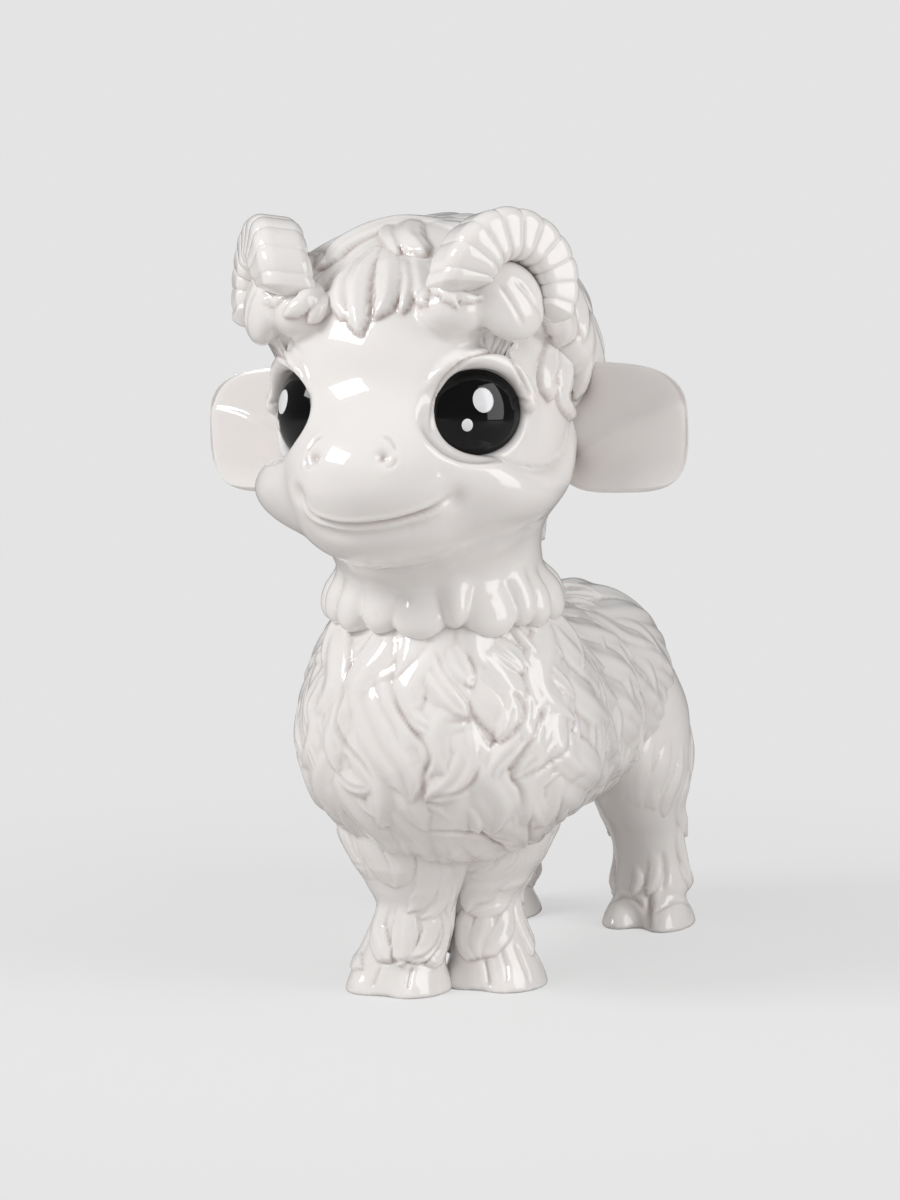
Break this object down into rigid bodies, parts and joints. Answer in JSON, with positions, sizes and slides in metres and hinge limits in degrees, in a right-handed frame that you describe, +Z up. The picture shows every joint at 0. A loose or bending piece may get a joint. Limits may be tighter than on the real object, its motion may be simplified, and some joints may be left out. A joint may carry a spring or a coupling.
{
  "type": "goat figurine",
  "caption": "Standing kid goat ornament in glossy white porcelain, with curled ribbed horns, paddle ears, locked fleece, a scalloped neck ruff and domed black eyes.",
  "frame": {"origin": "middle of the figure's box, on the surface that the hooves stand on", "axes": "+Z up; -Y is the way the goat faces, along its body; +X towards the goat's own left"},
  "size_m": [0.1611, 0.2438, 0.2507],
  "materials": {
    "porcelain": "clear gloss glaze over warm white porcelain",
    "black_glaze": "black gloss glaze",
    "white_enamel": "raised white enamel, gloss"
  },
  "bodies": {
    "root": {"torso": "porcelain", "head": "porcelain", "horn_left": "porcelain", "horn_right": "porcelain", "ear_left": "porcelain", "ear_right": "porcelain", "eye_left": "black_glaze", "eye_right": "black_glaze", "eye_highlight_large_left": "white_enamel", "eye_highlight_large_right": "white_enamel", "eye_highlight_small_left": "white_enamel", "eye_highlight_small_right": "white_enamel", "front_leg_left": "porcelain", "front_leg_right": "porcelain", "hind_leg_left": "porcelain", "hind_leg_right": "porcelain", "tail": "porcelain"}
  },
  "joints": []
}
